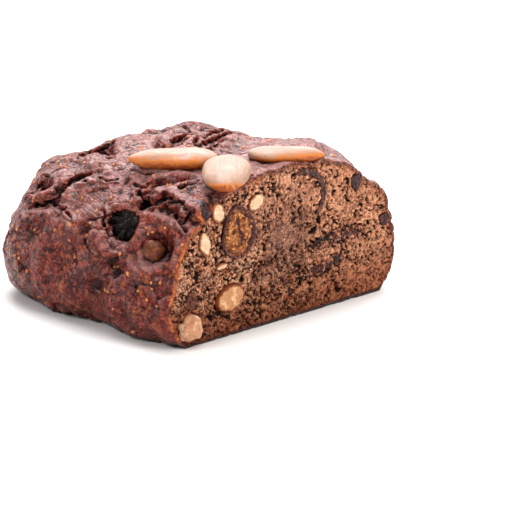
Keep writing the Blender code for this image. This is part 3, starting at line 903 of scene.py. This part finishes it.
def crumbColour(tree, spot):
    # a fine web of pale threads with pores between them, darkened with painted shade
    hues = huesOf(crumbColours)
    colour = tones(tree, spot, 4.0, crumbTones)
    threads = ranged(tree, noiseAt(tree, spot, 0.5, 2.0, 0.6, 21.0), 0.5, 0.57)
    colour = tinted(tree, colour, 0.85, threads, hues["thread"])
    crowd = ranged(tree, noiseAt(tree, spot, 3.2, 2.0, 0.6, 22.0), 0.4, 0.6, -0.05, 0.05)
    field = calc(tree, "ADD", noiseAt(tree, spot, 0.6, 2.0, 0.6, 23.0), crowd)
    # painted shade: the small pores are made dark
    shadedPores = ranged(tree, field, 0.53, 0.57)
    colour = tinted(tree, colour, 0.92, shadedPores, hues["shadedPore"])
    mottled = ranged(tree, noiseAt(tree, spot, 1.5, 5.0, 0.7, 29.0), 0.47, 0.57)
    colour = mixed(tree, calc(tree, "MULTIPLY", mottled, 0.85), colour, hues["mottled"], "MULTIPLY")
    return patched(tree, spot, colour, rustyCrumb), shadedPores, threads


def crumbMaterial():
    material, tree, spot, shader = newMaterial("openCrumb", 0.7, 0.2)
    hues = huesOf(crumbColours)
    colour, shadedPores, threads = crumbColour(tree, spot)
    colour = tinted(tree, colour, 0.5, ranged(tree, maskOf(tree, "web"), -0.05, -0.3), hues["openWeb"])
    _, y, z = addNode(tree, "SeparateXYZ", {0: spot}).outputs
    away = addNode(tree, "VectorMath", {0: spot, 1: crumb["greyMiddle"]}, operation="DISTANCE")
    wander = ranged(tree, noiseAt(tree, spot, 6.0, 3.0), 0.3, 0.7, -6 * mm, 6 * mm)
    greyer = ranged(tree, calc(tree, "ADD", away.outputs["Value"], wander), 15 * mm, 6 * mm)
    colour = tinted(tree, colour, 0.55, greyer, hues["greyMiddle"])
    colour = patched(tree, spot, colour, brownClouds)
    colour = tinted(tree, colour, 0.25, ranged(tree, y, 2 * mm, 14 * mm), hues["far"])
    # painted shade, darker towards the bottom, partly the crumb's own colour
    shadeLowDown = ranged(tree, z, 17 * mm, 4 * mm)
    colour = mixed(tree, calc(tree, "MULTIPLY", shadeLowDown, 0.8), colour, hues["shadeLowDown"], "MULTIPLY")
    colour = tinted(tree, colour, 0.3, ranged(tree, z, 27 * mm, 37 * mm), hues["highUp"])
    # painted shade, darker the deeper the crumb lies
    colour = tinted(tree, colour, 0.97, ranged(tree, maskOf(tree, "shadedPore"), 0.22, 0.8), hues["deep"])
    colour = tinted(tree, colour, 0.5, ranged(tree, maskOf(tree, "nearEdge"), 2.2, 0.9), hues["nearRim"])
    tree.links.new(colour, shader["Base Color"])
    addBump(tree, shader, calc(tree, "SUBTRACT", threads, shadedPores), 0.25)
    return material


# Nuts and fruit

usualVoxel = 0.24
pieceVoxels = {"fig_half": 0.22, "fruit_in_hollow": 0.28}
wholeInward = 2.0  # what a piece that wasn't cut has all over
usualSwell = (1.6, 0.12)  # size and height of a nut's soft unevenness
fineSwell = (0.6, 0.04)
usualSeat = 0.4  # a whole nut or fruit is made this much fuller, so that it fills its pocket
seats = {"raisin_shoulder": 0.8}

# A kernel's main, light and dark tones, and the skin at the edge of its cut.
nutSkins = {
    "paleNut": ((208, 172, 136), (228, 202, 172), (180, 136, 96), (140, 78, 46)),
    "goldenNut": ((182, 126, 80), (222, 182, 140), (146, 84, 46), (128, 62, 30)),
    "roastedNut": ((194, 138, 102), (230, 194, 166), (148, 90, 60), (150, 90, 60)),
    "skinnedNut": ((88, 40, 20), (132, 70, 34), (40, 16, 10), (50, 20, 10)),
}
# Each nut's skin, slot, seed and swell.
nuts = {
    "nut_by_crust": ("paleNut", "nut", 0.0, usualSwell),
    "nut_left": ("paleNut", "nut", 3.3, usualSwell),
    "nut_upper": ("paleNut", "nut", 6.6, usualSwell),
    "nut_chip": ("paleNut", "nut", 9.9, usualSwell),
    "hazelnut_half": ("goldenNut", "hazelnut", 20.0, usualSwell),
    "hazelnut_corner": ("roastedNut", "hazelnut", 22.1, (2.0, 0.9)),
    "nut_in_hollow": ("skinnedNut", "hazelnut", 31.0, (2.2, 0.5)),
}

# A fruit's main, light and dark tones, the size of its wrinkles, its least roughness and specular.
fruitSkins = {
    "raisinSkin": (((74, 26, 28), (116, 52, 52), (26, 9, 12)), 1.4, 0.2, 0.35),
    "coveredRaisin": (((60, 14, 18), (112, 44, 44), (26, 6, 11)), 3.0, 0.24, 0.25),
    # the prune's light tone is painted highlight on its glossy skin
    "stickyPrune": (((72, 24, 14), (236, 150, 110), (22, 6, 3)), 1.1, 0.1, 0.25),
    # near black: the fruit's own dark with painted shade of the hollow it sits in
    "darkFruitAndShade": (((18, 8, 9), (56, 30, 30), (6, 3, 3)), 1.2, 0.26, 0.25),
    "dateFlesh": (((104, 56, 34), (132, 80, 52), (62, 28, 18)), 1.4, 0.35, 0.2),
    "figSkin": (((112, 66, 52), (150, 98, 74), (48, 22, 20)), 0.9, 0.3, 0.35),
}
# Each fruit's skin, slot and seed, the size and depth of its pleats, and where it is moved to.
fruits = {
    "raisin_upper": ("raisinSkin", "raisin", 0.0, (1.5, 0.35), (0.0, 0.0, 0.0)),
    "raisin_edge": ("raisinSkin", "raisin", 3.1, (1.5, 0.35), (0.0, 0.0, 0.0)),
    "raisin_shoulder": ("coveredRaisin", "raisin", 6.2, (3.0, 0.25), (0.6, 1.4, 0.5)),
    "prune_streak": ("stickyPrune", "prune", 0.0, (2.6, 0.6), (-0.1, 0.0, 0.0)),
    "prune_low": ("stickyPrune", "prune", 4.7, (2.6, 0.6), (-0.1, 0.0, 0.0)),
    "fruit_in_hollow": ("darkFruitAndShade", "prune", 9.4, (1.7, 1.1), (0.0, 1.1, -0.6)),
    "pear_middle": ("pearFlesh", "pear", 0.0, (2.4, 0.2), (-0.2, 0.0, 0.0)),
    "pear_right": ("pearFlesh", "pear", 5.9, (2.4, 0.2), (-0.2, 0.0, 0.0)),
    "date_piece": ("dateFlesh", "date", 7.7, (2.4, 0.2), (-0.2, 0.0, 0.0)),
}
figCurl = ("figSkin", "fig", 9.2, (1.4, 0.3), (0.0, 0.0, 0.0))


def shapePiece(name):
    # the node's own form, in fine squares, with its hard edges worn down
    shape = remeshed(shapeFromNode(name), pieceVoxels.get(name, usualVoxel))
    soften(shape, 4)
    if name not in cutNodes:
        raiseSkin(shape, lambda spot, normal: seats.get(name, usualSeat))
    return shape


def markCutEdge(shape, name):
    # for each spot, how far in from the edge of its cut it lies, in millimetres
    if name not in cutNodes:
        setMask(shape, "inward", [wholeInward] * len(shape.verts))
        return [wholeInward] * len(shape.verts)
    shape.normal_update()
    side = [v.co for v in shape.verts if v.normal.x < 0.6 and v.co.x > cutX - 2 * mm]
    tree = KDTree(len(side))
    for number, place in enumerate(side):
        tree.insert(place, number)
    tree.balance()
    inward = [tree.find(v.co)[2] / mm if v.normal.x >= 0.6 else 0.0 for v in shape.verts]
    setMask(shape, "inward", inward)
    return inward


def lumpy(size, height, seed):
    # soft unevenness, as raiseSkin takes it
    return lambda spot, normal: height * noise.noise(spot / size + Vector((seed, seed * 2, 0)))


def makeNut(name, materials):
    skin, slot, seed, swell = nuts[name]
    shape = shapePiece(name)
    markCutEdge(shape, name)
    raiseSkin(shape, lumpy(*swell, seed))
    raiseSkin(shape, lumpy(*fineSwell, seed + 5))
    addPiece(name, shape, materials[skin], slot, name)


def nutMaterial(name, main, light, dark, skin):
    material, tree, spot, shader = newMaterial(name, 0.5, 0.25)
    colour = tones(tree, spot, 1.8, (main, light, dark))
    wander = ranged(tree, noiseAt(tree, spot, 1.2), 0.3, 0.7, -0.25, 0.25)
    inward = calc(tree, "ADD", maskOf(tree, "inward"), wander)
    colour = mixed(tree, ranged(tree, inward, 0.7, 0.2), colour, srgb(*skin))
    tree.links.new(colour, shader["Base Color"])
    addBump(tree, shader, noiseAt(tree, spot, 0.5, 3.0), 0.2)
    return material


def fruitMaterial(name, hues, size, gloss, specular):
    material, tree, spot, shader = newMaterial(name, specular=specular)
    dark = srgb(*hues[2])
    colour = tones(tree, spot, 1.6, hues)
    skin = wrinkles(tree, spot, size)
    # painted shade in the wrinkles and deep in the folds
    colour = tinted(tree, colour, 0.8, ranged(tree, skin, 0.5, 0.2), dark)
    colour = mixed(tree, ranged(tree, maskOf(tree, "fold"), 0.1, 0.7), colour, dark)
    tree.links.new(colour, shader["Base Color"])
    rough = ranged(tree, noiseAt(tree, spot, 1.0), 0.3, 0.7, gloss, gloss + 0.2)
    tree.links.new(rough, shader["Roughness"])
    addBump(tree, shader, skin, 0.45)
    return material


def pearMaterial():
    # dried pear that has all but melted into the crumb
    material, tree, spot, shader = newMaterial("pearFlesh", 0.5, 0.25)
    colour, shadedPores, threads = crumbColour(tree, spot)
    colour = tinted(tree, colour, 0.62, ranged(tree, noiseAt(tree, spot, 3.0), 0.2, 0.5), srgb(118, 76, 64))
    tree.links.new(colour, shader["Base Color"])
    addBump(tree, shader, calc(tree, "SUBTRACT", threads, shadedPores), 0.12)
    return material


def crumple(shape, seed, size, height):
    # pleats the skin, and notes how deep in a fold each spot lies, for painted shade there
    def fold(spot):
        place = spot + 0.6 * size * swirl(spot / (1.8 * size))
        wide = abs(noise.noise(place / size + Vector((seed, 0, 0))))
        tight = abs(noise.noise(place / (size * 0.45) + Vector((0, seed, 0))))
        return 1.0 - 2.6 * wide - 0.8 * tight

    shape.normal_update()
    folds = [fold(vert.co / mm) for vert in shape.verts]
    setMask(shape, "fold", [max(0.0, depth) for depth in folds])
    for vert, depth in zip(shape.verts, folds):
        vert.co -= vert.normal * height * depth * mm


def makeFruit(name, materials, looks):
    skin, slot, seed, pleats, moved = looks
    shape = shapePiece(name)
    markCutEdge(shape, name)
    crumple(shape, seed, *pleats)
    bmesh.ops.translate(shape, verts=shape.verts, vec=Vector(moved) * mm)
    addPiece(name, shape, materials[skin], slot, name)


# The cut fig

fig = {
    "skin": 0.85,  # how thick the skin looks on the cut
    "skinProud": 0.3,
    "groove": (1.15, 0.3, 0.5),  # how far in it runs, half width, depth
    "flesh": ((2.0, 1.1), (0.9, 0.5)),  # size and height of its unevenness
    "fleshLow": 0.25,
    "outside": (1.5, 0.55),
    "everywhere": (0.8, 0.12),
    "foldFrom": (-0.6, 3.6),  # a purple fold across the flesh, from the middle
    "foldTo": (1.6, -3.8),
    "foldWaves": (1.6, 0.5),
    "foldHalf": 0.42,
    "foldDitch": (0.9, 0.3),  # how far from its middle the fold's ditch runs, and half width
    "foldHeight": 0.5,
    "seeds": 70,
    "seedSize": (0.34, 0.5),
    "seed": 17,
}
figColours = {
    "flesh": ((164, 94, 50), (232, 168, 104), (104, 50, 30)),
    "skin": ((82, 38, 38), (150, 98, 80), (36, 14, 18)),
    "fold": (78, 36, 44),
}
darkFlesh = (1.0, 3.0, 0.5, 0.0, 0.54, 0.62, 0.85, (62, 24, 24))  # a patch, given as those of the crust are


def soft(spot, waves):
    # soft noise of a size and height
    size, height = waves
    return height * noise.noise(spot / size)


def figRise(spot, middle, depth):
    # how far the cut fig stands out at a spot that lies so deep inside its edge, and how much
    # of the fold is there
    place, half, deep = fig["groove"]
    rise = soft(spot, fig["everywhere"])
    rise += fig["skinProud"] * math.exp(-(depth / fig["skin"]) ** 4)
    rise -= deep * math.exp(-((depth - place) / half) ** 2)
    if depth <= place:
        return rise, 0.0
    start, end = Vector(fig["foldFrom"]), Vector(fig["foldTo"])
    flat = Vector((spot.y - middle.y, spot.z - middle.z))
    along = max(0.0, min(1.0, (flat - start).dot(end - start) / (end - start).length_squared))
    size, reach = fig["foldWaves"]
    wave = reach * noise.noise(Vector((0.0, flat.y / size, 4.0)))
    away = (flat - start.lerp(end, along)).length + wave
    fold = math.exp(-(away / fig["foldHalf"]) ** 2)
    ditchAway, ditchHalf = fig["foldDitch"]
    rise += sum(soft(spot, waves) for waves in fig["flesh"]) - fig["fleshLow"]
    return rise + fig["foldHeight"] * (fold - math.exp(-((away - ditchAway) / ditchHalf) ** 2)), fold


def makeFig(material, seedMaterial):
    shape = shapePiece("fig_half")
    inward = markCutEdge(shape, "fig_half")
    lowest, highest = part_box("fig_half")
    middle = (lowest + highest) / 2 / mm
    foldLayer = shape.verts.layers.float.new("fold")
    shape.normal_update()
    flesh = []
    for vert, depth in zip(shape.verts, inward):
        spot = vert.co / mm
        if depth > 0:
            rise, vert[foldLayer] = figRise(spot, middle, depth)
        else:
            rise = soft(spot, fig["everywhere"]) + soft(spot, fig["outside"])
        if depth > fig["groove"][0] + 0.5 and vert[foldLayer] < 0.2:
            flesh.append((vert.co.copy(), vert.normal.copy(), rise))
        vert.co += vert.normal * rise * mm
    addPiece("fig_half", shape, material, "fig", "fig_half")
    draw = random.Random(fig["seed"])
    places = []
    for place, normal, rise in draw.sample(flesh, fig["seeds"]):
        places.append((place + normal * rise * mm, normal, draw.uniform(*fig["seedSize"])))
    addSeeds("fig_seeds", places, seedMaterial, "fig", draw)


def figMaterial():
    material, tree, spot, shader = newMaterial("cutFig", 0.36, 0.3)
    flesh = patched(tree, spot, tones(tree, spot, 1.8, figColours["flesh"]), darkFlesh)
    flesh = mixed(tree, ranged(tree, maskOf(tree, "fold"), 0.2, 0.6), flesh, srgb(*figColours["fold"]))
    skin = tones(tree, spot, 0.9, figColours["skin"])
    wander = ranged(tree, noiseAt(tree, spot, 1.2, 3.0), 0.38, 0.62, -0.6, 0.6)
    inward = calc(tree, "ADD", maskOf(tree, "inward"), wander)
    colour = mixed(tree, ranged(tree, inward, 0.8, 1.2), skin, flesh)
    tree.links.new(colour, shader["Base Color"])
    addBump(tree, shader, wrinkles(tree, spot, 0.7), 0.5)
    return material


# Small seeds of the figs, in the crust and in the cut fig

# The pixels of the ones that the camera sees, and how many more are scattered.
crustSeeds = {
    "seen": (
        (115, 267), (118, 266), (127, 273), (68, 224), (90, 223), (87, 235), (78, 212), (34, 198),
        (33, 201), (82, 198), (92, 200), (111, 198), (13, 226), (17, 229), (15, 255), (19, 258),
        (19, 276), (39, 297), (105, 290), (108, 292), (151, 283), (152, 289), (113, 309), (133, 332),
        (165, 228), (182, 245), (75, 257), (70, 225), (160, 283), (55, 230), (131, 147), (141, 149),
        (142, 147), (61, 166), (148, 234), (146, 228), (128, 274), (157, 306), (147, 300), (27, 271),
        (96, 211), (120, 254),
    ),
    "scattered": 90,
    "size": (0.42, 0.62),
    "seed": 8,
}
seedTones = ((196, 118, 56), (224, 160, 96), (142, 74, 34))


def addSeeds(name, places, material, slot, draw):
    # flat little ovals, each half sunk where it sits
    shape = bmesh.new()
    for place, normal, radius in places:
        lying = Vector((0, 0, 1)).rotation_difference(normal).to_matrix().to_4x4()
        turn = Matrix.Rotation(draw.uniform(0.0, math.tau), 4, "Z")
        size = Matrix.Diagonal((radius * mm, 0.75 * radius * mm, 0.6 * radius * mm, 1.0))
        made = bmesh.ops.create_icosphere(shape, subdivisions=2, radius=1.0)
        laid = Matrix.Translation(place) @ lying @ turn @ size
        bmesh.ops.transform(shape, verts=made["verts"], matrix=laid)
    addPiece(name, shape, material, slot)


def makeCrustSeeds(tree, material):
    draw = random.Random(crustSeeds["seed"])
    places = []
    for pixel in crustSeeds["seen"]:
        place, normal, _, _ = tree.ray_cast(*rayThrough(pixel))
        if place:
            places.append((place, normal, draw.uniform(*crustSeeds["size"])))
    while len(places) < len(crustSeeds["seen"]) + crustSeeds["scattered"]:
        way = Vector((draw.uniform(-1, 1), draw.uniform(-1, 1), draw.uniform(0, 1))).normalized()
        place, normal, _, _ = tree.ray_cast(Vector((0, 0, 12 * mm)), way)
        if place and place.x < cutX - 2 * mm and normal.dot(way) > 0:
            places.append((place, normal, draw.uniform(*crustSeeds["size"])))
    addSeeds("crust_seeds", places, material, "crust", draw)


def seedMaterial():
    material, tree, spot, shader = newMaterial("figSeed", 0.35)
    tree.links.new(tones(tree, spot, 1.5, seedTones), shader["Base Color"])
    addBump(tree, shader, noiseAt(tree, spot, 0.3, 2.0), 0.1)
    return material


# The almonds

almondLooks = {
    "voxel": 0.32,
    "rounds": 14,
    "ridges": (2.4, 0.10),  # apart and high: faint ridges that run lengthwise
    "wider": {"almond_left": 1.12},
    "moved": {"almond_left": (0.35, -0.6, -0.2)},
    # How high up the browning starts, as a share of half the height seen, how strong it is,
    # and how much stronger it gets from the left end to the right: partly toasting, partly painted shade.
    "toastedAndShaded": {
        "almond_left": (0.25, 1.4, -0.1),
        "almond_centre": (-0.54, 4.5, 0.0),
        "almond_right": (0.2, 1.4, 0.8),
    },
    "fan": (7.0, 0.25),  # the toasting's edge is drawn out in rays: how many and how long
    "lumps": (7.0, 0.35),
    "ridgeLength": 14.0,
}
almondTones = ((162, 130, 112), (174, 148, 134), (154, 116, 90))
almondColours = {
    "streak": (150, 96, 62),
    "toastedAndShaded": (198, 114, 46),
    "darkest": (136, 54, 18),
    "freckle": (176, 100, 56),
}


def makeAlmond(name, material, seed):
    shape = remeshed(shapeFromNode(name), almondLooks["voxel"])
    soften(shape, almondLooks["rounds"])
    middle = sum((vert.co for vert in shape.verts), Vector()) / len(shape.verts)
    tip = max(shape.verts, key=lambda vert: (vert.co - middle).length).co
    along = (tip - middle).normalized()
    across = Vector((0, 0, 1)).cross(along).normalized()
    wider = almondLooks["wider"].get(name, 1.0) - 1.0
    moved = Vector(almondLooks["moved"].get(name, (0.0, 0.0, 0.0))) * mm
    for vert in shape.verts:
        vert.co += across * (vert.co - middle).dot(across) * wider + moved
    middle += moved
    raiseSkin(shape, lumpy(*almondLooks["lumps"], seed))
    markToastAndShade(shape, name, middle, seed)
    raiseRidges(shape, middle, along, across, seed)
    addPiece(name, shape, material, "almond", name)


def markToastAndShade(shape, name, middle, seed):
    # browned from below, as it is seen, partly toasting and partly painted shade on the underside, with an
    # edge that fans out in rays
    start, strength, rightward = almondLooks["toastedAndShaded"][name]
    rays, length = almondLooks["fan"]
    right, up, _ = viewAxes()
    halfUp = max((vert.co - middle).dot(up) for vert in shape.verts)
    halfRight = max((vert.co - middle).dot(right) for vert in shape.verts)
    toastAndShade = []
    for vert in shape.verts:
        seen = (vert.co - middle).dot(up) / halfUp
        aside = (vert.co - middle).dot(right) / halfRight
        fan = length * noise.noise(Vector((rays * math.atan2(seen, aside), seed, 0.0)))
        toastAndShade.append(strength * (start - seen + fan) + rightward * aside)
    setMask(shape, "toastAndShade", toastAndShade)


def raiseRidges(shape, middle, along, across, seed):
    # faint ridges along the almond, and its own axes as a vector for the streaks in its colour
    apart, height = almondLooks["ridges"]
    layer = shape.verts.layers.float_vector.new("grain")
    up = along.cross(across)
    shape.normal_update()
    for vert in shape.verts:
        away = (vert.co - middle) / mm
        own = Vector((away.dot(along), away.dot(across), away.dot(up)))
        rib = noise.noise(Vector((own.x / almondLooks["ridgeLength"] + seed, own.y / apart, 0.0)))
        vert.co += vert.normal * height * rib * 2.0 * mm
        vert[layer] = own


def almondMaterial():
    material, tree, spot, shader = newMaterial("blanchedAlmond", 0.5, 0.3)
    hues = huesOf(almondColours)
    colour = tones(tree, spot, 5.0, almondTones)
    grain = addNode(tree, "Attribute", attribute_name="grain").outputs["Vector"]
    drawn = addNode(tree, "VectorMath", {0: grain, 1: (0.07, 0.8, 0.8)}, operation="MULTIPLY").outputs[0]
    streaks = addNode(tree, "TexNoise", {"Vector": drawn, "Scale": 1.0, "Detail": 3.0}).outputs[0]
    colour = tinted(tree, colour, 0.35, ranged(tree, streaks, 0.5, 0.6), hues["streak"])
    wander = ranged(tree, noiseAt(tree, spot, 2.4, 4.0, 0.6), 0.35, 0.65, -0.22, 0.22)
    toastAndShade = calc(tree, "ADD", maskOf(tree, "toastAndShade"), wander)
    # partly toasting, partly painted shade from below
    colour = mixed(tree, ranged(tree, toastAndShade, -0.2, 1.0), colour, hues["toastedAndShaded"])
    # darkest at the lowest edge as seen: partly toasting, partly painted shade
    colour = tinted(tree, colour, 0.8, ranged(tree, toastAndShade, 0.7, 1.6), hues["darkest"])
    freckles = ranged(tree, noiseAt(tree, spot, 1.3, 2.0), 0.7, 0.78)
    colour = tinted(tree, colour, 0.4, freckles, hues["freckle"])
    tree.links.new(colour, shader["Base Color"])
    addBump(tree, shader, calc(tree, "ADD", streaks, noiseAt(tree, spot, 0.8, 4.0)), 0.12)
    return material


# Everything is made from here on

makeCamera()
makeLights()
makeFloor()
print("camera, light and floor are in place")

crustShape, crustRim = shapeCrust()
crustTree = BVHTree.FromBMesh(crustShape)  # still open at the cut
print("crust shaped")
cutOutline = [[vert.co.yz[:] for vert in edge.verts] for edge in crustRim]
makeCrumb(crustTree, cutOutline, crumbMaterial())
seedSkin = seedMaterial()
makeCrustSeeds(crustTree, seedSkin)
finishCrust(crustShape)
addPiece("crust", crustShape, crustMaterial(), "crust", "loaf")

nutMaterials = {name: nutMaterial(name, *hues) for name, hues in nutSkins.items()}
for name in nuts:
    makeNut(name, nutMaterials)
fruitMaterials = {name: fruitMaterial(name, *looks) for name, looks in fruitSkins.items()}
fruitMaterials["pearFlesh"] = pearMaterial()
for name, looks in fruits.items():
    makeFruit(name, fruitMaterials, looks)
makeFig(figMaterial(), seedSkin)
makeFruit("fig_curl", fruitMaterials, figCurl)
almondSkin = almondMaterial()
for number, name in enumerate(almondLooks["toastedAndShaded"]):
    makeAlmond(name, almondSkin, 6.1 * number)
print("nuts, fruit and almonds shaped")
